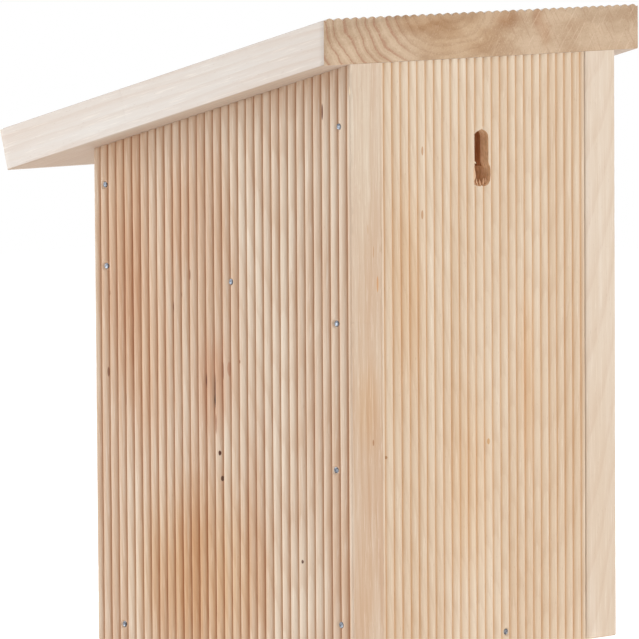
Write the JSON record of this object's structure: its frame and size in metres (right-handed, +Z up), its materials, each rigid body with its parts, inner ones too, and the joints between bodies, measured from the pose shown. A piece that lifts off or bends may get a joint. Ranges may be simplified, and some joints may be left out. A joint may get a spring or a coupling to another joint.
{
  "type": "birdhouse",
  "caption": "Wooden nest box of reeded boards with a slanted roof, a round entrance, a front door that swings out for cleaning, and a keyhole hanger in its back.",
  "frame": {"origin": "middle of the overall footprint, on the surface that the floor board rests on", "axes": "+Z up, -Y out of the front door, +Y out of the back panel, +X towards the side board that carries the latch"},
  "size_m": [0.1802, 0.188, 0.2572],
  "materials": {
    "side_wood": "planed reeded softwood, raw, warm pale tan with a pinkish cast",
    "panel_wood": "planed reeded softwood, raw, pale cream",
    "roof_wood": "planed softwood, raw, reeded on top, sawn ends",
    "inner_wood": "sawn softwood, raw",
    "galvanised_steel": "bright galvanised, dull where it has been struck"
  },
  "bodies": {
    "box": {"back_floor_nail": "galvanised_steel", "back_nail_1_left": "galvanised_steel", "back_nail_1_right": "galvanised_steel", "back_nail_2_left": "galvanised_steel", "back_nail_2_right": "galvanised_steel", "back_nail_3_left": "galvanised_steel", "back_nail_3_right": "galvanised_steel", "back_nail_4_left": "galvanised_steel", "back_nail_4_right": "galvanised_steel", "back_panel": "panel_wood", "brace_nail_left": "galvanised_steel", "brace_nail_right": "galvanised_steel", "cross_brace": "inner_wood", "floor_board": "inner_wood", "floor_nail_front_left": "galvanised_steel", "floor_nail_front_right": "galvanised_steel", "floor_nail_rear_left": "galvanised_steel", "floor_nail_rear_right": "galvanised_steel", "header_nail_left": "galvanised_steel", "header_nail_right": "galvanised_steel", "header_strip": "panel_wood", "pivot_nail_left": "galvanised_steel", "pivot_nail_right": "galvanised_steel", "roof_board": "roof_wood", "roof_nail_back_left": "galvanised_steel", "roof_nail_back_right": "galvanised_steel", "roof_nail_front_left": "galvanised_steel", "roof_nail_front_right": "galvanised_steel", "roof_nail_rear_left": "galvanised_steel", "roof_nail_rear_right": "galvanised_steel", "side_board_left": "side_wood", "side_board_right": "side_wood"},
    "front_door": {"front_door": "panel_wood"},
    "latch_hook": {"latch_hook": "galvanised_steel"}
  },
  "joints": [
    {"name": "door_pivot", "type": "hinge", "parent": "box", "child": "front_door", "pos_m": [0, -0.04632, 0.15311], "axis": [-1, 0, 0], "range_deg": [0, 110]},
    {"name": "latch_turn", "type": "hinge", "parent": "box", "child": "latch_hook", "pos_m": [0.06735, -0.05272, 0.035], "axis": [0, -1, 0], "range_deg": [0, 90]}
  ]
}
